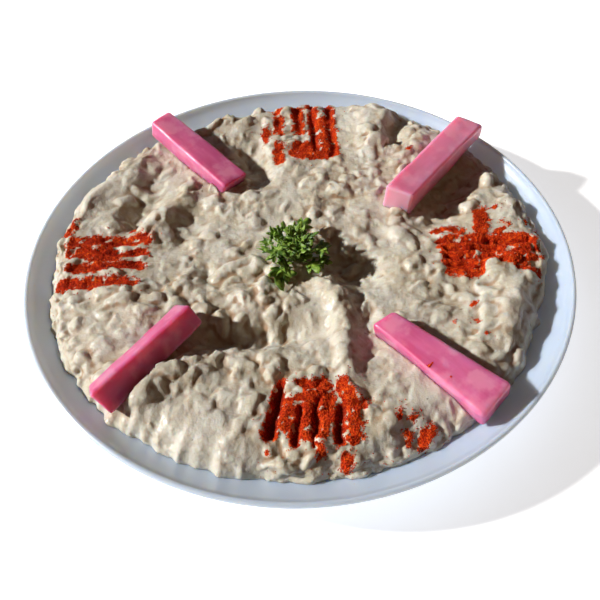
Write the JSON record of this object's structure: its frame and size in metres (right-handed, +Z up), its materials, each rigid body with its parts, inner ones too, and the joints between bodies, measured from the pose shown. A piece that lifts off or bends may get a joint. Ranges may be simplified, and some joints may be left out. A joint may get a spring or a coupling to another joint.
{
  "type": "baba ganoush",
  "caption": "Round shallow plate of baba ganoush with batons of pickled turnip on the diagonals and a parsley sprig in the middle.",
  "frame": {"origin": "centre of the plate's foot, on the surface it stands on", "axes": "+X to the right and +Y to the back as the plate is served, +Z up"},
  "size_m": [0.22, 0.22, 0.0406],
  "materials": {
    "plate": "white glaze with a faint blue cast",
    "dip": "moist, coarse, cream-coloured aubergine paste",
    "pickle": "wet, pink, slightly see-through pickled turnip",
    "parsley": "fresh green leaf",
    "paprika": "coarse dry red powder"
  },
  "bodies": {
    "root": {"plate": "plate", "dip": "dip", "baton_back_left": "pickle", "baton_back_right": "pickle", "baton_front_left": "pickle", "baton_front_right": "pickle", "parsley": "parsley"}
  },
  "joints": []
}
